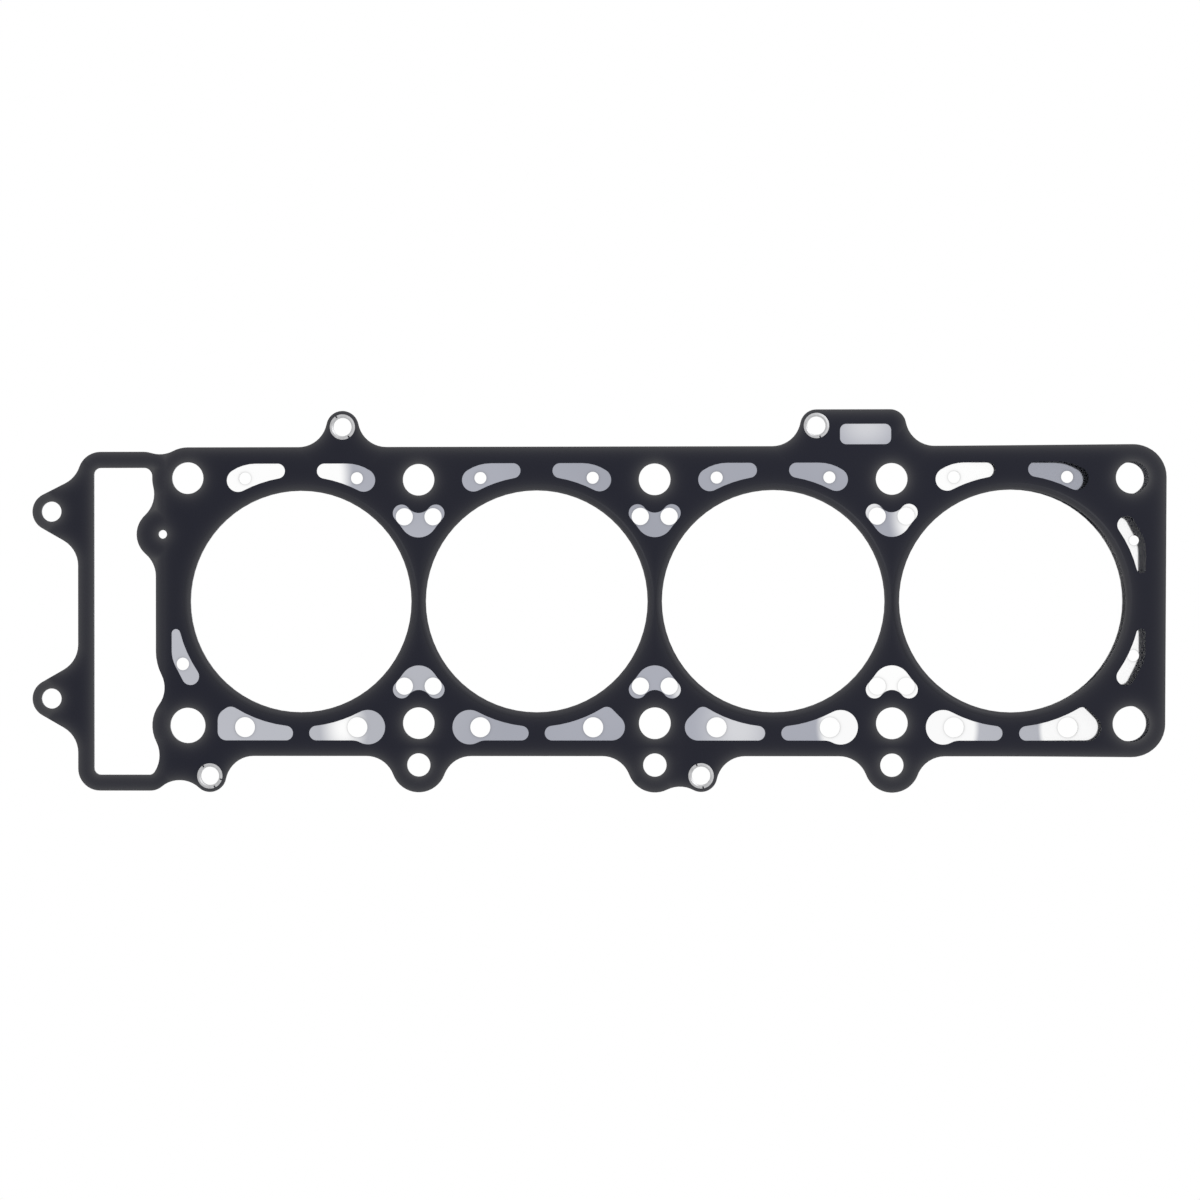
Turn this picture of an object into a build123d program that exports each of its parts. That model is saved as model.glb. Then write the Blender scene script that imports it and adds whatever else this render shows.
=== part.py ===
from build123d import *
import math
import os
from collections import namedtuple

os.makedirs("parts", exist_ok=True)

# Driving dimensions, in millimetres. X runs along the row of cylinders, +Z faces the cylinder head.
bore_radius = 38.5
bore_bridge = 5.0
bore_count = 4
edge_land = 15.2

# Stack: the beads of both coated sheets face outward, so the flats meet on the spacer.
sheet_thickness = 0.25
spacer_thickness = 0.3
bead_height = 0.25
bead_width = 1.8
bead_crown = 0.6
bead_from_bore = 1.5

# Sprung end of the top sheet: past the last eyelet it is held by nothing and stands off the stack.
spring_angle = 3.2
spring_bend_radius = 18.0

# Head bolt holes and dowel holes.
stud_radius = 5.5
stud_wall = 11.4
left_stud_wall = 10.7
dowel_radius = 6.15
left_dowel_wall = 10.6
left_overhang = 1.0
right_overhang = 2.0

# Outer edge.
inner_corner = 10.0
left_corner_radius = 10.9
lug_hole_radius = 4.05
lug_radius = 9.5
lug_reach = 3.1
tab_hole_radius = 3.5
tab_radius = 6.65
tab_reach = 9.31
upper_tab_drop = 20.8
lower_tab_rise = 32.05
tab_root = 18.8
ear_radius = 5.6

# Timing chain tunnel and the thin frame round it.
rail_reach = 38.34
rail_width = 5.55
frame_top_step = 1.5
frame_top_width = 5.6
frame_bottom_step = 12.1
frame_bottom_width = 5.52
frame_upper_corner = 7.85
frame_lower_corner = 7.65
frame_top_shoulder = (15.65, 10.3)
frame_bottom_shoulder = (13.0, 5.85)
tunnel_left_corner = 2.3
tunnel_top_corner = 2.9
tunnel_bottom_corner = (13.6, 2.4)
tunnel_bulge = 10.5
tunnel_wall = 11.15
tunnel_web = (25.8, 18.0)
stud_boss = 12.4
oil_step = (8.75, 19.55)
oil_hole_radius = 1.5
oil_boss = 9.1

# Rectangular window in the tab over cylinder 3.
slot_width = 17.7
slot_height = 7.1
slot_inset = 0.15
tab_corner_inset = 0.6
slot_step = 0.6
slot_corner = 2.2

# Coolant windows of the coated sheets. A reach is taken back from the bolt column, a round end dips past
# the window's flat side, and the dowel window's side drops below its tip.
window_land = 5.0
top_bridge = 11.1
top_window_corner = 2.6
top_window_end = (19.1, 4.0)
top_window_shoulder = 15.0
bottom_bridge = 5.6
bottom_window_corner = 2.55
round_window_end = (1.3852, 6.0)
pointed_window_corner = (15.0, 4.6)
pointed_window_tip = (16.7, 2.7)
dowel_window_corner = (14.9, 3.05)
dowel_window_side = (16.25, 1.6409, 4.4)
dowel_window_tip = (16.5, 3.2)
side_window_foot = (-33.96, 3.05)
side_window_tip = (-14.27, 1.55)
side_window_bend = 12.0
side_window_rise = 9.0
heart_lobe = 3.05
heart_lobe_offset = 5.95
heart_notch = 4.45
heart_tip = 6.65

# Metering holes of the spacer: place along or round the window, distance from its land, radius.
top_meter = (21.5, 3.6, 2.1)
bottom_meter = (21.4, 4.4, 3.5)
heart_meter = (5.0, 3.0, 3.0)
left_side_meter = (207.7, 3.15, 2.2)
right_upper_meter = (26.2, 3.86, 1.7)
right_lower_meter = (-24.1, 2.74, 2.0)

# Eyelets: a tube with a rolled flange at each end, split where the metal was spread.
eyelet_bore = 3.2
eyelet_wall = 0.3
eyelet_play = 0.3
eyelet_flange = 4.4
eyelet_crest = 3.7
eyelet_rim = 0.12
eyelet_split_width = 0.5
eyelet_split_depth = 0.75

# Everything below follows from the sizes above.
bore_pitch = 2 * bore_radius + bore_bridge
half_pitch = bore_pitch / 2
body_half_depth = bore_radius + edge_land
stud_offset = body_half_depth - stud_wall
end_stud_offset = body_half_depth - left_stud_wall
end_dowel_offset = body_half_depth - left_dowel_wall
lug_offset = body_half_depth + lug_reach
bores = [bore_pitch * (number - (bore_count - 1) / 2) for number in range(bore_count)]
mid_columns = [(low + high) / 2 for low, high in zip(bores, bores[1:])]
left_x = bores[0] - bore_radius - left_overhang
right_x = bores[-1] + bore_radius + right_overhang
rail_x = left_x - rail_reach
tab_column = rail_x - tab_reach
frame_top = body_half_depth - frame_top_step
frame_bottom = -body_half_depth - frame_bottom_step
tunnel_side_x = left_x - tunnel_wall
oil_hole = (left_x - oil_step[0], end_stud_offset - oil_step[1])
slot_right = mid_columns[-1] - slot_inset
slot_bottom = body_half_depth + slot_step
bottom_flat = bead_height
spacer_bottom = bottom_flat + sheet_thickness
spacer_top = spacer_bottom + spacer_thickness
top_flat = spacer_top + sheet_thickness
stack_top = top_flat + bead_height
ring_radius = bore_radius + window_land
spring_line = mid_columns[-1]
cut_depth = 2 * body_half_depth
touch_tolerance = 1e-7

# A disc that an edge is laid round: a positive radius bulges out, a negative one is rolled into a corner.
Disc = namedtuple("Disc", "x y r")


def heading(first, second):
    gap = math.hypot(second.x - first.x, second.y - first.y)
    lean = (second.r - first.r) / gap
    if abs(lean) > 1 - touch_tolerance:
        lean = math.copysign(1, lean)
    return math.atan2(second.y - first.y, second.x - first.x) - math.asin(lean)


def touch_point(disc, angle):
    return (disc.x + disc.r * math.sin(angle), disc.y - disc.r * math.cos(angle))


def belt(discs):
    """Face inside a belt laid anticlockwise round the discs."""
    angles = [heading(disc, discs[(place + 1) % len(discs)]) for place, disc in enumerate(discs)]
    edges = []
    for place, disc in enumerate(discs):
        arriving, leaving = angles[place - 1], angles[place]
        turn = math.degrees(leaving - arriving) % 360
        if disc.r > 0:
            start = math.degrees(arriving) - 90
        else:
            start = math.degrees(arriving) + 90
            turn -= 360
        edges.append(CenterArc((disc.x, disc.y), abs(disc.r), start, turn))
        following = discs[(place + 1) % len(discs)]
        begin, end = touch_point(disc, leaving), touch_point(following, leaving)
        if math.dist(begin, end) > touch_tolerance:
            edges.append(Line(begin, end))
    return Face(Wire(edges))


def rolled(first, second, radius, side):
    """Disc touching two others, on the left (side 1) or right (side -1) of the way between them."""
    reach_first = abs(radius - first.r)
    reach_second = abs(radius - second.r)
    span = math.hypot(second.x - first.x, second.y - first.y)
    along = (span**2 + reach_first**2 - reach_second**2) / (2 * span)
    aside = side * math.sqrt(reach_first**2 - along**2)
    ux, uy = (second.x - first.x) / span, (second.y - first.y) / span
    return Disc(first.x + along * ux - aside * uy, first.y + along * uy + aside * ux, radius)


def rolled_at_level(disc, radius, level, side):
    """Disc at a given height touching another, to its right (side 1) or left (side -1)."""
    return Disc(disc.x + side * math.sqrt((radius - disc.r) ** 2 - (level - disc.y) ** 2), level, radius)


def rolled_at_column(disc, radius, column, side):
    """Disc in a given column touching another, above it (side 1) or below it (side -1)."""
    return Disc(column, disc.y + side * math.sqrt((radius - disc.r) ** 2 - (column - disc.x) ** 2), radius)


def shifted(discs, x):
    return [Disc(disc.x + x, disc.y, disc.r) for disc in discs]


def mirrored_x(discs):
    return [Disc(-disc.x, disc.y, disc.r) for disc in reversed(discs)]


def mirrored_y(discs):
    return [Disc(disc.x, -disc.y, disc.r) for disc in reversed(discs)]


def circle_face(x, y, radius):
    return Face(Wire(CenterArc((x, y), radius, 0, 360)))


# Fixings that the edges are drawn round.
eyelets = {
    "eyelet_top_left": (mid_columns[0] - 26.5, body_half_depth + 6.95),
    "eyelet_top_right": (mid_columns[2] - 26.0, body_half_depth + 7.1),
    "eyelet_bottom_left": (left_x + 7.7, -body_half_depth - 6.95),
    "eyelet_bottom_right": (mid_columns[1] + 16.0, -body_half_depth - 6.8),
}
eyelet_splits = {
    "eyelet_top_left": (121, -57),
    "eyelet_top_right": (-72,),
    "eyelet_bottom_left": (124, -17, -66),
    "eyelet_bottom_right": (112, -80),
}
ears = {name: Disc(x, y, ear_radius) for name, (x, y) in eyelets.items()}
studs = [(left_x, end_stud_offset), (right_x, stud_offset)]
studs += [(column, side * stud_offset) for column in mid_columns for side in (-1, 1)]
dowels = [(left_x, -end_dowel_offset), (right_x, -stud_offset)]
lug_holes = [(column, -lug_offset) for column in mid_columns]
tab_holes = [(tab_column, frame_top - upper_tab_drop), (tab_column, frame_bottom + lower_tab_rise)]


def outer_edge():
    upper_level = body_half_depth + inner_corner
    lower_level = -upper_level
    ear_1, ear_2 = ears["eyelet_top_left"], ears["eyelet_top_right"]
    ear_3, ear_4 = ears["eyelet_bottom_left"], ears["eyelet_bottom_right"]
    tab_corner = Disc(mid_columns[-1] - tab_corner_inset, ear_2.y, ear_radius)
    left_corner = Disc(left_x, body_half_depth - left_corner_radius, left_corner_radius)
    frame_top_left = Disc(rail_x + frame_upper_corner, frame_top - frame_upper_corner, frame_upper_corner)
    reach, radius = frame_top_shoulder
    frame_top_right = Disc(left_x - reach, frame_top - radius, radius)
    frame_low_left = Disc(rail_x + frame_lower_corner, frame_bottom + frame_lower_corner, frame_lower_corner)
    reach, radius = frame_bottom_shoulder
    frame_low_right = Disc(left_x - reach, frame_bottom + radius, radius)
    tabs = [Disc(x, y, tab_radius) for x, y in tab_holes]
    root_x = rail_x - inner_corner
    lugs = [Disc(x, y, lug_radius) for x, y in lug_holes]
    first_lug, middle_lug, last_lug = lugs
    return [
        Disc(right_x, -stud_offset, stud_wall),
        Disc(right_x, stud_offset, stud_wall),
        rolled_at_level(tab_corner, -inner_corner, upper_level, 1),
        tab_corner,
        ear_2,
        rolled_at_level(ear_2, -inner_corner, upper_level, -1),
        rolled_at_level(ear_1, -inner_corner, upper_level, 1),
        ear_1,
        rolled_at_level(ear_1, -inner_corner, upper_level, -1),
        left_corner,
        rolled(frame_top_right, left_corner, -inner_corner, 1),
        frame_top_right,
        frame_top_left,
        rolled_at_level(frame_top_left, -inner_corner, tabs[0].y + tab_root, -1),
        tabs[0],
        Disc(root_x, tabs[0].y - tab_root, -inner_corner),
        Disc(root_x, tabs[1].y + tab_root, -inner_corner),
        tabs[1],
        Disc(root_x, tabs[1].y - tab_root, -inner_corner),
        frame_low_left,
        frame_low_right,
        rolled(frame_low_right, ear_3, -inner_corner, -1),
        ear_3,
        rolled_at_level(ear_3, -inner_corner, lower_level, 1),
        rolled_at_level(first_lug, -inner_corner, lower_level, -1),
        first_lug,
        rolled_at_level(first_lug, -inner_corner, lower_level, 1),
        rolled_at_level(middle_lug, -inner_corner, lower_level, -1),
        middle_lug,
        rolled(middle_lug, ear_4, -inner_corner, -1),
        ear_4,
        rolled_at_level(ear_4, -inner_corner, lower_level, 1),
        rolled_at_level(last_lug, -inner_corner, lower_level, -1),
        last_lug,
        rolled_at_level(last_lug, -inner_corner, lower_level, 1),
    ]


def tunnel_edge():
    rail_inner = rail_x + rail_width
    top_inner = frame_top - frame_top_width
    bottom_inner = frame_bottom + frame_bottom_width
    dowel_boss = Disc(left_x, -end_dowel_offset, -stud_boss)
    upper_boss = Disc(left_x, end_stud_offset, -stud_boss)
    oil = Disc(*oil_hole, -oil_boss)
    low_left = Disc(rail_inner + tunnel_left_corner, bottom_inner + tunnel_left_corner, tunnel_left_corner)
    top_left = Disc(rail_inner + tunnel_left_corner, top_inner - tunnel_left_corner, tunnel_left_corner)
    reach, radius = tunnel_bottom_corner
    low_right = Disc(left_x - reach, bottom_inner + radius, radius)
    bulge = rolled(dowel_boss, low_right, tunnel_bulge, -1)
    rise, radius = tunnel_web
    web = Disc(tunnel_side_x + radius, dowel_boss.y + rise, -radius)
    above_dowel = rolled(dowel_boss, web, inner_corner, 1)
    below_oil = rolled_at_column(oil, inner_corner, tunnel_side_x - inner_corner, -1)
    above_oil = rolled(oil, upper_boss, inner_corner, 1)
    top_right = rolled_at_level(upper_boss, tunnel_top_corner, top_inner - tunnel_top_corner, -1)
    return [
        low_left,
        low_right,
        bulge,
        dowel_boss,
        above_dowel,
        web,
        below_oil,
        oil,
        above_oil,
        upper_boss,
        top_right,
        top_left,
    ]


ring = Disc(0.0, 0.0, -ring_radius)


def on_ring(x, radius, side):
    """Disc at a given x touching the ring round the cylinder, above (side 1) or below (side -1)."""
    return Disc(x, side * math.sqrt((ring_radius + radius) ** 2 - x**2), radius)


def round_ring(degrees, off_ring, radius):
    """Disc at an angle round the cylinder, its middle standing off the ring."""
    angle = math.radians(degrees)
    reach = ring_radius + off_ring
    return Disc(reach * math.cos(angle), reach * math.sin(angle), radius)


def top_window():
    small = on_ring(top_bridge / 2 + top_window_corner, top_window_corner, 1)
    reach, radius = top_window_end
    large = on_ring(half_pitch - reach, radius, 1)
    level = small.y + small.r - top_window_shoulder
    return [small, ring, large, rolled_at_level(large, top_window_shoulder, level, -1)]


def bottom_small():
    return on_ring(bottom_bridge / 2 + bottom_window_corner, bottom_window_corner, -1)


def bottom_round_window():
    small = bottom_small()
    dip, radius = round_window_end
    level = small.y - small.r - dip + radius
    large = Disc(math.sqrt((ring_radius + radius) ** 2 - level**2), level, radius)
    belly = rolled_at_level(large, -radius, small.y - small.r - radius, -1)
    return [small, belly, large, ring]


def bottom_pointed_window():
    small = bottom_small()
    reach, radius = pointed_window_corner
    corner = Disc(half_pitch - reach, small.y - small.r + radius, radius)
    reach, radius = pointed_window_tip
    return [small, corner, on_ring(half_pitch - reach, radius, -1), ring]


def bottom_dowel_window():
    small = bottom_small()
    reach, radius = dowel_window_corner
    lower = Disc(half_pitch - reach, small.y - small.r + radius, radius)
    reach, radius = dowel_window_tip
    tip = on_ring(half_pitch - reach, radius, -1)
    reach, drop, radius = dowel_window_side
    side = Disc(half_pitch - reach, tip.y - drop, radius)
    return [small, lower, side, tip, ring]


def side_window():
    angle, radius = side_window_foot
    foot = round_ring(angle, radius, radius)
    angle, radius = side_window_tip
    tip = round_ring(angle, radius, radius)
    bend = Disc(tip.x + tip.r - side_window_bend, foot.y + side_window_rise, side_window_bend)
    return [foot, bend, tip, ring]


def heart_window():
    lobe_y = math.sqrt((ring_radius + heart_lobe) ** 2 - (half_pitch - heart_lobe_offset) ** 2)
    tip_y = math.sqrt((ring_radius + heart_tip) ** 2 - half_pitch**2)
    right_lobe = Disc(heart_lobe_offset, lobe_y, heart_lobe)
    left_lobe = Disc(-heart_lobe_offset, lobe_y, heart_lobe)
    notch = rolled(left_lobe, right_lobe, -heart_notch, 1)
    left_ring = Disc(-half_pitch, 0.0, -ring_radius)
    right_ring = Disc(half_pitch, 0.0, -ring_radius)
    return [right_lobe, notch, left_lobe, left_ring, Disc(0.0, tip_y, heart_tip), right_ring]


def sheet_windows():
    """Windows of the coated sheets, which the spacer closes but for its metering holes."""
    discs = []
    for bore in bores:
        discs += [shifted(top_window(), bore), shifted(mirrored_x(top_window()), bore)]
    first, second, third, fourth = bores
    discs.append(shifted(mirrored_x(bottom_dowel_window()), first))
    discs.append(shifted(bottom_round_window(), first))
    discs.append(shifted(mirrored_x(bottom_round_window()), second))
    discs.append(shifted(bottom_pointed_window(), second))
    discs.append(shifted(mirrored_x(bottom_pointed_window()), third))
    discs.append(shifted(bottom_round_window(), third))
    discs.append(shifted(mirrored_x(bottom_round_window()), fourth))
    discs.append(shifted(bottom_pointed_window(), fourth))
    for column in mid_columns:
        discs += [shifted(heart_window(), column), shifted(mirrored_y(heart_window()), column)]
    discs.append(shifted(mirrored_x(side_window()), first))
    discs.append(shifted(side_window(), fourth))
    discs.append(shifted(mirrored_y(side_window()), fourth))
    return [belt(window) for window in discs] + [slot_face()]


def slot_face():
    left, right = slot_right - slot_width + slot_corner, slot_right - slot_corner
    low, high = slot_bottom + slot_corner, slot_bottom + slot_height - slot_corner
    return belt([Disc(x, y, slot_corner) for x, y in ((left, low), (right, low), (right, high), (left, high))])


def common_holes():
    """Holes that all three sheets share."""
    sized = [(studs, stud_radius), (dowels, dowel_radius), (lug_holes, lug_hole_radius)]
    sized += [(tab_holes, tab_hole_radius), ([oil_hole], oil_hole_radius)]
    sized += [([(bore, 0.0) for bore in bores], bore_radius)]
    sized += [(eyelets.values(), eyelet_bore + eyelet_wall + eyelet_play)]
    holes = [circle_face(x, y, radius) for places, radius in sized for x, y in places]
    return holes + [belt(tunnel_edge())]


def metering_holes():
    reach, off_ring, radius = top_meter
    upper = on_ring(half_pitch - reach, off_ring, 1)._replace(r=radius)
    reach, off_ring, radius = bottom_meter
    lower = on_ring(half_pitch - reach, off_ring, -1)._replace(r=radius)
    beside, off_ring, radius = heart_meter
    heart = on_ring(half_pitch - beside, off_ring, 1)._replace(r=radius)
    discs = []
    for bore in bores:
        discs += shifted([upper, lower], bore) + shifted(mirrored_x([upper, lower]), bore)
    for left, right in zip(bores, bores[1:]):
        pair = shifted([heart], left) + shifted(mirrored_x([heart]), right)
        discs += pair + mirrored_y(pair)
    discs += shifted([round_ring(*left_side_meter)], bores[0])
    discs += shifted([round_ring(*right_upper_meter), round_ring(*right_lower_meter)], bores[-1])
    return [circle_face(*disc) for disc in discs]


def sheet_plan(holes):
    outline = belt(outer_edge())
    return Face(outline.outer_wire(), [hole.outer_wire() for hole in holes])


def bead_profile(radius, base, lift):
    """Half section of an embossed ring: the sheet steps up to a crown and leaves a hollow of the same shape below."""
    places = [radius - bead_width / 2, radius - bead_crown / 2, radius + bead_crown / 2, radius + bead_width / 2]
    levels = [base, base + bead_height * lift, base + bead_height * lift, base]
    under = [(place, 0, level) for place, level in zip(places, levels)]
    over = [(place, 0, level + sheet_thickness * lift) for place, level in zip(places, levels)]
    return Face(Wire(Polyline(under + over[::-1], close=True)))


def with_bead(blank, bore, base, lift, seat):
    """Swap a flat band round one cylinder for its bead; the seat places both on the sheet."""
    centre = bore_radius + bead_from_bore
    inner, outer = centre - bead_width / 2, centre + bead_width / 2
    band = Cylinder(outer, cut_depth) - Cylinder(inner, cut_depth)
    bead = revolve(bead_profile(centre, base, lift), Axis.Z)
    place = seat * Pos(bore, 0, 0)
    return blank - place * band + place * bead


def flat_sheet():
    """Sheet with its beads facing down."""
    sheet = extrude(sheet_plan(common_holes() + sheet_windows()), sheet_thickness)
    sheet = Pos(0, 0, bottom_flat) * sheet
    for bore in bores:
        sheet = with_bead(sheet, bore, spacer_bottom, -1, Location())
    return sheet


def sprung_sheet():
    """Sheet with its beads facing up, bent up past the last eyelet."""
    reach = abs(rail_x) + 4 * tab_radius
    bend = math.radians(spring_angle)
    start = (spring_line - spring_bend_radius * math.tan(bend / 2), 0)
    hub = (start[0], spring_bend_radius)
    run = right_x + 2 * stud_wall - spring_line
    inner_radius = spring_bend_radius - sheet_thickness / 2
    outer_radius = spring_bend_radius + sheet_thickness / 2

    def on_bend(radius, angle):
        return (hub[0] + radius * math.sin(angle), hub[1] - radius * math.cos(angle))

    def past_bend(radius):
        x, z = on_bend(radius, bend)
        return (x + run * math.cos(bend), z + run * math.sin(bend))

    low = [(-reach, -sheet_thickness / 2), on_bend(outer_radius, 0)]
    high = [(-reach, sheet_thickness / 2), on_bend(inner_radius, 0)]
    section = [
        Line(low[0], low[1]),
        ThreePointArc(low[1], on_bend(outer_radius, bend / 2), on_bend(outer_radius, bend)),
        Line(on_bend(outer_radius, bend), past_bend(outer_radius)),
        Line(past_bend(outer_radius), past_bend(inner_radius)),
        Line(past_bend(inner_radius), on_bend(inner_radius, bend)),
        ThreePointArc(on_bend(inner_radius, bend), on_bend(inner_radius, bend / 2), high[1]),
        Line(high[1], high[0]),
        Line(high[0], low[0]),
    ]
    middle = spacer_top + sheet_thickness / 2
    depth = 2 * abs(frame_bottom)
    blank = Plane.XZ * Face(Wire(section))
    blank = Pos(0, 0, middle) * extrude(blank, depth, both=True)
    tilt = Pos(spring_line, 0, middle) * Rot(0, -spring_angle, 0) * Pos(-spring_line, 0, -middle)
    for bore in bores:
        blank = with_bead(blank, bore, spacer_top, 1, tilt if bore > spring_line else Location())
    plan = sheet_plan(common_holes() + sheet_windows())
    return blank & extrude(plan, cut_depth)


def eyelet(x, y, splits):
    """Tube with a rolled flange pressed onto both coated sheets."""
    tube = eyelet_bore + eyelet_wall
    lip = [(tube, top_flat), (eyelet_flange, top_flat), (eyelet_flange, top_flat + eyelet_rim)]
    lip += [(eyelet_crest, stack_top), (eyelet_bore, top_flat)]
    foot = [(radius, top_flat + bottom_flat - level) for radius, level in reversed(lip)]
    wall = [(radius, 0, level) for radius, level in lip + foot]
    body = revolve(Face(Wire(Polyline(wall, close=True))), Axis.Z)
    for angle in splits:
        notch = Box(2 * eyelet_split_depth, eyelet_split_width, 2 * bead_height)
        body -= Rot(0, 0, angle) * Pos(eyelet_flange, 0, top_flat + bead_height) * notch
    return Pos(x, y, 0) * body


def save(name, shape):
    shape.label = name
    export_step(shape, f"parts/{name}.step")


save("bottom_layer", flat_sheet())
spacer = extrude(sheet_plan(common_holes() + metering_holes()), spacer_thickness)
save("spacer_plate", Pos(0, 0, spacer_bottom) * spacer)
save("top_layer", sprung_sheet())
for name, (x, y) in eyelets.items():
    save(name, eyelet(x, y, eyelet_splits[name]))
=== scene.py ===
import math

import bmesh
import bpy
import numpy as np
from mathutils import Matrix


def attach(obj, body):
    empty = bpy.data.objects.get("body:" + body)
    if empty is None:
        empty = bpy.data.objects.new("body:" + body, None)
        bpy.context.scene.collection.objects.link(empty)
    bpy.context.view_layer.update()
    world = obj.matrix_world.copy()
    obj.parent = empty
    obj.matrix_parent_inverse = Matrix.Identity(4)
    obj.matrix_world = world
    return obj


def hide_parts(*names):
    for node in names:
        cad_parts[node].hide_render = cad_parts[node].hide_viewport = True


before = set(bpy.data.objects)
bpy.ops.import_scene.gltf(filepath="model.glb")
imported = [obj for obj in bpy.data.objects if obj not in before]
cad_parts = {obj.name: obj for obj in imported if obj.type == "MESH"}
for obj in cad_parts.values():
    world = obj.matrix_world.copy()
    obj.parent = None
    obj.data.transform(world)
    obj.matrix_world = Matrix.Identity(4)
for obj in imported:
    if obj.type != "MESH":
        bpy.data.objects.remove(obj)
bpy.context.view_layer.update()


def addNode(tree, kind, settings=None, values=None):
    node = tree.nodes.new(kind)
    for name, value in (settings or {}).items():
        setattr(node, name, value)
    for name, value in (values or {}).items():
        if isinstance(value, bpy.types.NodeSocket):
            tree.links.new(value, node.inputs[name])
        else:
            node.inputs[name].default_value = value
    return node


def calc(tree, operation, first, second=0.0, third=None):
    values = {0: first, 1: second}
    if third is not None:
        values[2] = third
    return addNode(tree, "ShaderNodeMath", {"operation": operation}, values).outputs[0]


def newMaterial(name):
    material = bpy.data.materials.new(name)
    material.use_nodes = True
    material.node_tree.nodes.clear()
    return material, material.node_tree


def newGroup(name, inputs, outputs):
    group = bpy.data.node_groups.new(name, "ShaderNodeTree")
    for side, sockets in (("INPUT", inputs), ("OUTPUT", outputs)):
        for label, kind in sockets:
            group.interface.new_socket(label, in_out=side, socket_type=kind)
    return group, group.nodes.new("NodeGroupInput"), group.nodes.new("NodeGroupOutput")


def addObject(name, data):
    thing = bpy.data.objects.new(name, data)
    bpy.context.collection.objects.link(thing)
    return thing


# Plan of the gasket in millimetres, as circles and boxes that the painted glare along the edges is measured from.
planSizes = {
    "borePitch": 82.0,
    "boreRadius": 38.5,
    "studRadius": 5.5,
    "studOffset": 42.3,
    "lugHoleRadius": 4.05,
    "lugOffset": -56.8,
    "endHoles": [(-162.5, 43.0, 5.5), (163.5, 42.3, 5.5), (-162.5, -43.1, 6.15), (163.5, -42.3, 6.15)],
    "smallHoles": [(-210.15, 31.4, 3.5), (-210.15, -33.75, 3.5), (-171.25, 23.45, 1.5)],
    "tunnel": (-195.3, -173.65, -60.28, 46.6),
    "tunnelCorner": 2.0,
    "tunnelBosses": [(-171.25, 23.45, 9.1), (-162.5, 43.0, 12.4), (-162.5, -43.1, 12.4)],
    "plates": [
        (-174.0, 174.9, -53.7, 53.7, 11.2), (-200.84, -167.0, -65.8, 52.2, 7.7),
        (50.4, 87.0, 40.0, 66.4, 5.6), (-158.0, -150.0, -62.0, -40.0, 3.0),
    ],
    "lugs": [
        (-82.0, -56.8, 9.5), (0.0, -56.8, 9.5), (82.0, -56.8, 9.5), (16.0, -60.5, 5.6),
        (-108.5, 60.65, 5.6), (-154.8, -60.65, 5.6), (-210.15, 31.4, 6.65), (-210.15, -33.75, 6.65),
    ],
    # necks of the ears, lugs and tabs: middles of the two round inner corners, then the box that holds the neck
    "neckCorner": 10.0,
    "necks": [
        ((-123.8, 63.7), (-93.2, 63.7), (-123.8, -93.2, 40.0, 61.0)),
        ((40.67, 63.7), (96.73, 63.7), (40.67, 96.73, 40.0, 61.0)),
        ((-165.36, -72.13), (-139.5, -63.7), (-175.0, -139.5, -64.0, -40.0)),
        ((8.67, -74.27), (31.27, -63.7), (3.0, 31.27, -64.5, -40.0)),
        ((-100.24, -63.7), (-63.76, -63.7), (-100.24, -63.76, -61.0, -40.0)),
        ((-18.24, -63.7), (8.67, -74.27), (-18.24, 14.0, -64.5, -40.0)),
        ((63.76, -63.7), (100.24, -63.7), (63.76, 100.24, -61.0, -40.0)),
        ((-210.84, 12.6), (-209.85, 50.2), (-212.0, -190.0, 12.6, 50.2)),
        ((-210.84, -52.55), (-210.84, -14.95), (-212.0, -190.0, -52.55, -14.95)),
    ],
}


def lowest(tree, values):
    result = values[0]
    for value in values[1:]:
        result = calc(tree, "MINIMUM", result, value)
    return result


def lengthOf(tree, first, second):
    square = calc(tree, "MULTIPLY", first, first)
    return calc(tree, "SQRT", calc(tree, "MULTIPLY_ADD", second, second, square))


def fromCircle(tree, x, y, circle):
    # distance to the centre less the radius
    away = lengthOf(tree, calc(tree, "SUBTRACT", x, circle[0]), calc(tree, "SUBTRACT", y, circle[1]))
    return calc(tree, "SUBTRACT", away, circle[2])


def fromBox(tree, x, y, box, corner=0.0):
    # signed distance to a box with rounded corners: length of the positive part plus the inner part
    left, right, low, high = box[:4]
    across = calc(tree, "ABSOLUTE", calc(tree, "SUBTRACT", x, (left + right) / 2))
    along = calc(tree, "ABSOLUTE", calc(tree, "SUBTRACT", y, (low + high) / 2))
    across = calc(tree, "SUBTRACT", across, (right - left) / 2 - corner)
    along = calc(tree, "SUBTRACT", along, (high - low) / 2 - corner)
    outer = lengthOf(tree, calc(tree, "MAXIMUM", across, 0.0), calc(tree, "MAXIMUM", along, 0.0))
    inner = calc(tree, "MINIMUM", calc(tree, "MAXIMUM", across, along), 0.0)
    return calc(tree, "SUBTRACT", calc(tree, "ADD", outer, inner), corner)


def fade(tree, distance, reach):
    # falls from one at the edge to nothing: e to the minus distance over reach
    share = calc(tree, "DIVIDE", calc(tree, "MAXIMUM", distance, 0.0), reach)
    return calc(tree, "EXPONENT", calc(tree, "MULTIPLY", share, -1.0))


def planPlace(tree, source):
    # the group's coordinates along and across the row, in millimetres
    places = addNode(tree, "ShaderNodeSeparateXYZ", None, {0: source.outputs["Vector"]})
    return [calc(tree, "MULTIPLY", places.outputs[axis], 1000.0) for axis in (0, 1)]


def foldedRow(tree, x):
    # folds the four cylinders onto one, whose middle is at half a pitch
    return calc(tree, "ABSOLUTE", calc(tree, "SUBTRACT", calc(tree, "ABSOLUTE", x), planSizes["borePitch"]))


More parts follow.
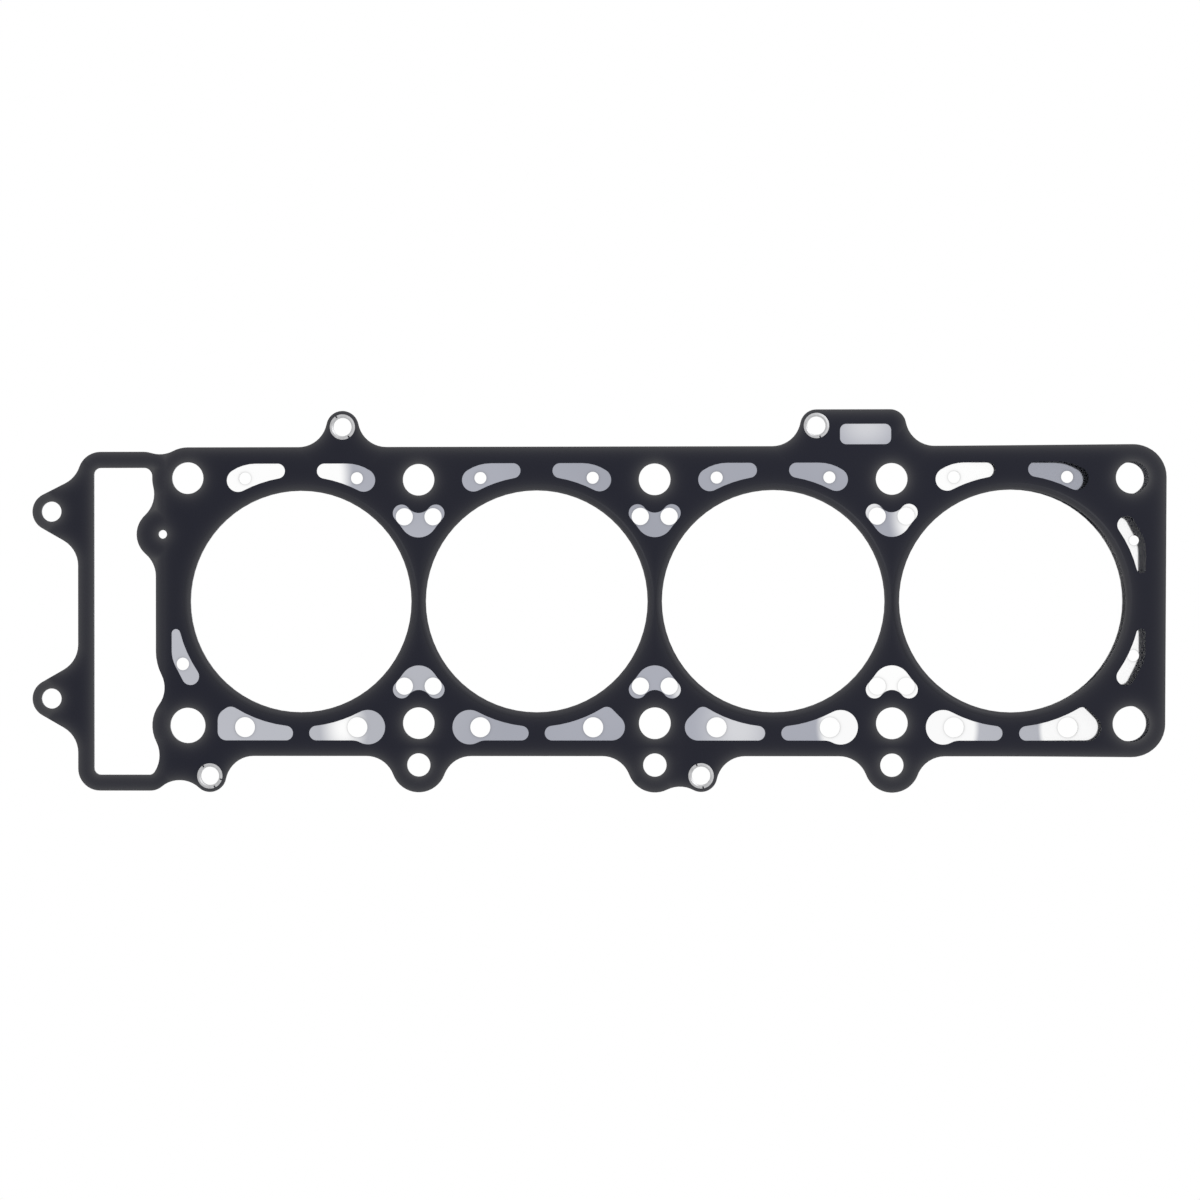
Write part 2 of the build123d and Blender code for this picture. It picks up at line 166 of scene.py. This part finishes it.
def fromColumn(tree, x):
    # distance along the row to the nearest of the three bolt columns, which stand one pitch apart
    pitch = planSizes["borePitch"]
    column = calc(tree, "ROUND", calc(tree, "DIVIDE", x, pitch))
    column = calc(tree, "MAXIMUM", calc(tree, "MINIMUM", column, 1.0), -1.0)
    return calc(tree, "SUBTRACT", x, calc(tree, "MULTIPLY", column, pitch))


def makePaintedEdgeGlare():
    # Painted glare: a pale band along every edge of the coating, fading inward with the distance from the nearest
    # edge.
    tree, source, sink = newGroup(
        "paintedEdgeGlare",
        [("Vector", "NodeSocketVector"), ("Reach", "NodeSocketFloat")],
        [("Haze", "NodeSocketFloat")],
    )
    x, y = planPlace(tree, source)
    bore = (planSizes["borePitch"] / 2, 0.0, planSizes["boreRadius"])
    bores = fromCircle(tree, foldedRow(tree, x), y, bore)
    beside = fromColumn(tree, x)
    tall = calc(tree, "ABSOLUTE", y)
    studs = fromCircle(tree, beside, tall, (0.0, planSizes["studOffset"], planSizes["studRadius"]))
    lugHoles = fromCircle(tree, beside, y, (0.0, planSizes["lugOffset"], planSizes["lugHoleRadius"]))
    holes = [fromCircle(tree, x, y, hole) for hole in planSizes["endHoles"] + planSizes["smallHoles"]]
    tunnel = fromBox(tree, x, y, planSizes["tunnel"], planSizes["tunnelCorner"])
    for boss in planSizes["tunnelBosses"]:
        inside = calc(tree, "MULTIPLY", fromCircle(tree, x, y, boss), -1.0)
        tunnel = calc(tree, "MAXIMUM", tunnel, inside)
    plates = [fromBox(tree, x, y, plate, plate[4]) for plate in planSizes["plates"]]
    lugs = [fromCircle(tree, x, y, lug) for lug in planSizes["lugs"]]
    # distance inward from the union of plates and lugs
    outer = calc(tree, "MULTIPLY", lowest(tree, plates + lugs), -1.0)
    for first, second, box in planSizes["necks"]:
        radius = (planSizes["neckCorner"],)
        corners = [fromCircle(tree, x, y, place + radius) for place in (first, second)]
        block = calc(tree, "MULTIPLY", fromBox(tree, x, y, box), -1.0)
        outer = calc(tree, "MAXIMUM", outer, lowest(tree, corners + [block]))
    reach = source.outputs["Reach"]
    families = [bores, lowest(tree, [studs, lugHoles] + holes), tunnel, outer]
    total = fade(tree, families[0], reach)
    for family in families[1:]:
        total = calc(tree, "ADD", total, fade(tree, family, reach))
    tree.links.new(calc(tree, "MINIMUM", total, coatingLook["glareLimit"]), sink.inputs["Haze"])
    return tree


def useGroup(tree, group, values):
    return addNode(tree, "ShaderNodeGroup", {"node_tree": group}, values).outputs[0]


def mixColour(tree, amount, first, second):
    # a mix node keeps its two colours in sockets 6 and 7, and gives the mixed one in socket 2
    values = {0: amount, 6: first, 7: second}
    return addNode(tree, "ShaderNodeMix", {"data_type": "RGBA"}, values).outputs[2]


def scaleColour(tree, colour, scale):
    values = {0: colour, "Scale": scale}
    return addNode(tree, "ShaderNodeVectorMath", {"operation": "SCALE"}, values).outputs[0]


def objectPlace(tree):
    return tree.nodes.new("ShaderNodeTexCoord").outputs["Object"]


# Detail and roughness of the two sorts of noise.
noiseSorts = {"soft": (1.0, 0.5), "fine": (3.0, 0.6)}


def noise(tree, place, scale, sort):
    detail, roughness = noiseSorts[sort]
    values = {"Vector": place, "Scale": scale, "Detail": detail, "Roughness": roughness}
    return addNode(tree, "ShaderNodeTexNoise", None, values).outputs[0]


def spread(tree, value, low, high, newLow, newHigh):
    values = {0: value, 1: low, 2: high, 3: newLow, 4: newHigh}
    return addNode(tree, "ShaderNodeMapRange", None, values).outputs[0]


def bump(tree, height, look):
    values = {"Height": height, "Strength": look["bump"], "Distance": look["bumpDepth"]}
    return addNode(tree, "ShaderNodeBump", None, values).outputs[0]


def roughBand(tree, value, band, look):
    middle, swing = look["roughness"], look["roughSwing"]
    return spread(tree, value, *band, middle - swing, middle + swing)


def principled(tree, values):
    shader = addNode(tree, "ShaderNodeBsdfPrincipled", None, values)
    sink = tree.nodes.new("ShaderNodeOutputMaterial")
    tree.links.new(shader.outputs[0], sink.inputs[0])


coatingLook = {
    "dark": (0.0065, 0.0075, 0.0160, 1.0),
    "pale": (0.0100, 0.0105, 0.0180, 1.0),
    # edge: the pale colour of the painted glare along every edge
    "edge": (0.055, 0.055, 0.059, 1.0),
    "glareReach": 1.5,
    "glareLimit": 1.3,
    "driftScale": 9.0,
    "driftBand": (0.2, 0.8),
    "grainScale": 2600.0,
    "grainBand": (0.3, 0.7),
    "grainTones": (0.92, 1.08),
    "roughness": 0.5,
    "roughSwing": 0.03,
    "specular": 0.15,
    "bump": 0.12,
    "bumpDepth": 0.00004,
}

paintedEdgeGlare = makePaintedEdgeGlare()


def makeCoating():
    material, tree = newMaterial("rubberCoating")
    place = objectPlace(tree)
    glare = useGroup(tree, paintedEdgeGlare, {"Vector": place, "Reach": coatingLook["glareReach"]})
    drift = noise(tree, place, coatingLook["driftScale"], "soft")
    grain = noise(tree, place, coatingLook["grainScale"], "fine")
    body = mixColour(tree, drift, coatingLook["dark"], coatingLook["pale"])
    # painted glare: the coating turns pale near every edge
    body = mixColour(tree, glare, body, coatingLook["edge"])
    tone = spread(tree, grain, *coatingLook["grainBand"], *coatingLook["grainTones"])
    principled(tree, {
        "Base Color": scaleColour(tree, body, tone),
        "Roughness": roughBand(tree, drift, coatingLook["driftBand"], coatingLook),
        "Specular IOR Level": coatingLook["specular"],
        "Normal": bump(tree, grain, coatingLook),
    })
    return material


steelLook = {
    "grey": (0.357, 0.369, 0.422, 1.0),
    "light": (0.415, 0.427, 0.485, 1.0),
    # bright: the colour of the painted reflections
    "bright": (1.0, 1.0, 1.0, 1.0),
    "waveScale": 14.0,
    "waveBand": (0.35, 0.65),
    "lineScale": (60.0, 2400.0, 60.0),
    "lineBand": (0.3, 0.7),
    "roughness": 0.12,
    "roughSwing": 0.03,
    "rimShade": 0.3,
    "rimWidth": 0.3,
    "metallic": 0.93,
    "bump": 0.02,
    "bumpDepth": 0.00003,
    # places of painted reflection of the lamp in millimetres: centre, half sizes, softness of the rim, strength
    "reflectionSpots": [
        (-138.0, 43.0, 19.0, 16.0, 0.2, 1.0), (-116.5, 43.0, 9.5, 16.0, 0.3, 1.0),
        (-108.0, -44.0, 6.0, 8.0, 0.9, 1.0), (29.0, -44.0, 9.0, 12.0, 0.9, 0.45),
        (65.5, -43.5, 8.5, 12.0, 0.2, 0.95), (101.0, -44.0, 10.5, 14.0, 0.15, 0.95),
        (146.0, -44.0, 13.0, 16.0, 0.1, 0.95), (107.0, 43.0, 16.0, 16.0, 0.2, 1.0),
        (90.0, 29.0, 6.5, 10.0, 0.5, 1.0), (82.0, -28.0, 12.0, 12.0, 0.2, 1.0),
        (75.0, 32.0, 3.0, 4.0, 0.5, 0.7), (165.0, 0.0, 14.0, 46.0, 0.2, 1.0),
        (73.0, 60.8, 8.0, 6.0, 0.9, 0.4), (8.5, -31.0, 2.4, 3.0, 0.6, 0.6),
        (-125.0, -20.0, 62.0, 55.0, 0.35, 0.16), (120.0, -44.0, 16.0, 16.0, 0.3, 0.15),
    ],
}


def makePaintedReflections():
    tree, source, sink = newGroup("paintedReflections", [("Vector", "NodeSocketVector")], [("Mask", "NodeSocketFloat")])
    x, y = planPlace(tree, source)
    total = None
    for centreX, centreY, halfX, halfY, soft, strength in steelLook["reflectionSpots"]:
        across = calc(tree, "DIVIDE", calc(tree, "SUBTRACT", x, centreX), halfX)
        along = calc(tree, "DIVIDE", calc(tree, "SUBTRACT", y, centreY), halfY)
        away = lengthOf(tree, across, along)
        values = {0: away, 1: 1.0 - soft, 2: 1.0 + soft, 3: strength, 4: 0.0}
        spot = addNode(tree, "ShaderNodeMapRange", {"interpolation_type": "SMOOTHSTEP"}, values).outputs[0]
        total = spot if total is None else calc(tree, "MAXIMUM", total, spot)
    tree.links.new(total, sink.inputs["Mask"])
    return tree


paintedReflections = makePaintedReflections()

# Metering holes of the spacer in millimetres: distance along the row from a cylinder's middle, or for those between
# the cylinders from a bolt column, then the place across and the radius.
meterHoles = {
    "above": (19.5, 42.87, 2.1),
    "below": (19.6, -43.71, 3.5),
    "between": (5.0, 29.43, 3.0),
    "single": [(165.49, 20.91, 1.7), (165.21, -18.88, 2.0), (-164.3, -21.68, 2.2)],
}


# Painted shade: a thin darker ring round each metering hole of the spacer, fading outward.
def makeHoleRims():
    tree, source, sink = newGroup(
        "holeRims",
        [("Vector", "NodeSocketVector"), ("Width", "NodeSocketFloat")],
        [("Rim", "NodeSocketFloat")],
    )
    x, y = planPlace(tree, source)
    # every hole of a kind folds onto one
    offset = calc(tree, "SUBTRACT", foldedRow(tree, x), planSizes["borePitch"] / 2)
    folded = calc(tree, "ABSOLUTE", offset)
    holes = [fromCircle(tree, folded, y, meterHoles[name]) for name in ("above", "below")]
    beside = calc(tree, "ABSOLUTE", fromColumn(tree, x))
    holes.append(fromCircle(tree, beside, calc(tree, "ABSOLUTE", y), meterHoles["between"]))
    holes += [fromCircle(tree, x, y, hole) for hole in meterHoles["single"]]
    tree.links.new(fade(tree, lowest(tree, holes), source.outputs["Width"]), sink.inputs["Rim"])
    return tree


holeRims = makeHoleRims()


def makeSpacerSteel():
    material, tree = newMaterial("rolledSteel")
    place = objectPlace(tree)
    wave = noise(tree, place, steelLook["waveScale"], "soft")
    rolled = {"Vector": place, "Scale": steelLook["lineScale"]}
    lines = noise(tree, addNode(tree, "ShaderNodeMapping", None, rolled).outputs[0], 1.0, "fine")
    shift = spread(tree, wave, *steelLook["waveBand"], 0.0, 1.0)
    colour = mixColour(tree, shift, steelLook["grey"], steelLook["light"])
    # painted reflection: the steel turns white in the listed spots
    colour = mixColour(tree, useGroup(tree, paintedReflections, {"Vector": place}), colour, steelLook["bright"])
    rim = useGroup(tree, holeRims, {"Vector": place, "Width": steelLook["rimWidth"]})
    # painted shade: the steel darkens in a thin ring round each metering hole
    colour = scaleColour(tree, colour, spread(tree, rim, 0.0, 1.0, 1.0, 1.0 - steelLook["rimShade"]))
    # Not how steel behaves: diffuse bounces meet it without its mirror, or caustics sparkle under the sprung sheet.
    bounce = tree.nodes.new("ShaderNodeLightPath").outputs["Is Diffuse Ray"]
    principled(tree, {
        "Base Color": colour,
        "Metallic": spread(tree, bounce, 0.0, 1.0, steelLook["metallic"], 0.0),
        "Roughness": roughBand(tree, lines, steelLook["lineBand"], steelLook),
        "Normal": bump(tree, lines, steelLook),
    })
    return material


eyeletLook = {
    "low": (0.30, 0.30, 0.31, 1.0),
    "high": (0.56, 0.56, 0.57, 1.0),
    "grainScale": 900.0,
    "grainBand": (0.3, 0.7),
    "grainTones": (0.55, 1.0),
    "roughnesses": (0.45, 0.55),
    "bump": 0.15,
    "bumpDepth": 0.00003,
}


def makeEyeletSteel():
    material, tree = newMaterial("platedEyelet")
    place = objectPlace(tree)
    grain = noise(tree, place, eyeletLook["grainScale"], "fine")
    band = eyeletLook["grainBand"]
    tone = spread(tree, grain, *band, *eyeletLook["grainTones"])
    principled(tree, {
        "Base Color": mixColour(tree, tone, eyeletLook["low"], eyeletLook["high"]),
        "Metallic": 1.0,
        "Roughness": spread(tree, grain, *band, *eyeletLook["roughnesses"]),
        "Normal": bump(tree, grain, eyeletLook),
    })
    return material


coating = makeCoating()
finishes = {"top_layer": coating, "bottom_layer": coating, "spacer_plate": makeSpacerSteel()}
eyeletSteel = makeEyeletSteel()
for name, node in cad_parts.items():
    for place in node.material_slots:
        place.material = finishes.get(name, eyeletSteel)
print("materials on", len(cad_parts), "pieces")

# The free end of the top sheet, in metres and degrees. It lifts past a slanted line, more at the corner with the
# stud hole than at the dowel. The straight fold is the one that its solid has, and it is taken off first.
sprungShape = {
    "lineStart": 0.114,
    "skew": 15.2,
    "slope": 0.0953,
    "ease": 0.015,
    "easeSteps": 8,
    "cutMerge": 1e-7,
    "straightFold": 0.082,
    "straightAngle": 3.2,
    "straightRadius": 0.018,
}


def straightLift(x):
    # height of a sheet folded straight across: a short arc, then a slope
    angle, radius = math.radians(sprungShape["straightAngle"]), sprungShape["straightRadius"]
    past = x - (sprungShape["straightFold"] - radius * math.tan(angle / 2))
    reach = radius * math.sin(angle)
    arc = radius - np.sqrt(radius**2 - np.clip(past, 0.0, reach) ** 2)
    return arc + np.clip(past - reach, 0.0, None) * math.tan(angle)


def slantedLift(x, y):
    # slope times the distance past a slanted line, eased in by a parabola from one ease before it to one after
    skew, slope, ease = math.radians(sprungShape["skew"]), sprungShape["slope"], sprungShape["ease"]
    past = (x - sprungShape["lineStart"]) * math.cos(skew) + y * math.sin(skew)
    eased = (np.clip(past, -ease, ease) + ease) ** 2 / (4 * ease)
    return slope * (eased + np.clip(past - ease, 0.0, None))


def makeSprungSheet():
    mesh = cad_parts["top_layer"].data.copy()
    mesh.name = "sprungTopSheet"
    skew, ease, steps = math.radians(sprungShape["skew"]), sprungShape["ease"], sprungShape["easeSteps"]
    across = (math.cos(skew), math.sin(skew), 0.0)
    shape = bmesh.new()
    shape.from_mesh(mesh)
    for step in range(steps + 1):
        offset = ease * (2 * step / steps - 1)
        point = (sprungShape["lineStart"] + offset * across[0], offset * across[1], 0.0)
        parts = shape.verts[:] + shape.edges[:] + shape.faces[:]
        merge = sprungShape["cutMerge"]
        bmesh.ops.bisect_plane(shape, geom=parts, dist=merge, plane_co=point, plane_no=across)
    shape.to_mesh(mesh)
    shape.free()
    if "custom_normal" in mesh.attributes:
        mesh.attributes.remove(mesh.attributes["custom_normal"])
    places = np.empty(3 * len(mesh.vertices))
    mesh.vertices.foreach_get("co", places)
    places = places.reshape(-1, 3)
    places[:, 2] += slantedLift(places[:, 0], places[:, 1]) - straightLift(places[:, 0])
    mesh.vertices.foreach_set("co", places.ravel())
    mesh.update()
    sheet = addObject("sprungTopSheet", mesh)
    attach(sheet, "root")
    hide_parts("top_layer")


makeSprungSheet()
print("top sheet sprung")

studio = {
    "floorHeight": 0.0,
    "floorSize": 6.0,
    "floorColour": (0.86, 0.86, 0.86, 1.0),
    "worldStrength": 0.97,
    "keySize": 0.9,
    "keyPower": 9.0,
    "keyPlace": (1.0, 0.8, 1.0),
    "cameraDistance": 0.70,
    "cameraTilt": 1.0,
    "frameWidth": 0.4168,
    "cameraTurn": -0.043,
    "sensorWidth": 36.0,
    "nearClip": 0.01,
    "frameCentre": (-0.0190, 0.00045, 0.0),
}


def makeFloor():
    material, tree = newMaterial("paleFloor")
    lightPath = tree.nodes.new("ShaderNodeLightPath")
    seen = calc(tree, "MAXIMUM", lightPath.outputs["Is Camera Ray"], lightPath.outputs["Is Transmission Ray"])
    plain = addNode(tree, "ShaderNodeBsdfDiffuse", None, {"Color": studio["floorColour"]}).outputs[0]
    white = addNode(tree, "ShaderNodeEmission", None, {"Strength": 1.0}).outputs[0]
    mixed = addNode(tree, "ShaderNodeMixShader", None, {0: seen, 1: plain, 2: white}).outputs[0]
    tree.links.new(mixed, tree.nodes.new("ShaderNodeOutputMaterial").inputs[0])
    half = studio["floorSize"] / 2
    corners = [(-half, -half), (half, -half), (half, half), (-half, half)]
    mesh = bpy.data.meshes.new("floor")
    mesh.from_pydata([corner + (studio["floorHeight"],) for corner in corners], [], [(0, 1, 2, 3)])
    mesh.materials.append(material)
    floor = addObject("floor", mesh)


def makeLight():
    world = bpy.data.worlds.new("studio")
    bpy.context.scene.world = world
    world.use_nodes = True
    tree = world.node_tree
    tree.nodes.clear()
    lightPath = tree.nodes.new("ShaderNodeLightPath")
    strength = spread(tree, lightPath.outputs["Is Camera Ray"], 0.0, 1.0, studio["worldStrength"], 1.0)
    back = addNode(tree, "ShaderNodeBackground", None, {"Color": (1.0, 1.0, 1.0, 1.0), "Strength": strength})
    tree.links.new(back.outputs[0], tree.nodes.new("ShaderNodeOutputWorld").inputs[0])
    lamp = bpy.data.lights.new("key", "AREA")
    lamp.shape = "DISK"
    lamp.size = studio["keySize"]
    lamp.energy = studio["keyPower"]
    key = addObject("key", lamp)
    key.location = studio["keyPlace"]
    # it faces the origin
    x, y, z = studio["keyPlace"]
    key.rotation_euler = (0.0, math.atan2(math.hypot(x, y), z), math.atan2(y, x))


def makeCamera():
    # straight above, turned a little about Y so that the right end comes nearer
    tilt = math.radians(studio["cameraTilt"])
    centre = studio["frameCentre"]
    away = studio["cameraDistance"]
    lens = bpy.data.cameras.new("camera")
    lens.sensor_width = studio["sensorWidth"]
    lens.lens = lens.sensor_width * away / studio["frameWidth"]
    lens.clip_start = studio["nearClip"]
    camera = addObject("camera", lens)
    camera.location = (centre[0] + away * math.sin(tilt), centre[1], centre[2] + away * math.cos(tilt))
    camera.rotation_euler = (0.0, tilt, math.radians(studio["cameraTurn"]))
    bpy.context.scene.camera = camera


makeFloor()
makeLight()
makeCamera()
bpy.context.scene.view_settings.view_transform = "Standard"
print("studio ready")
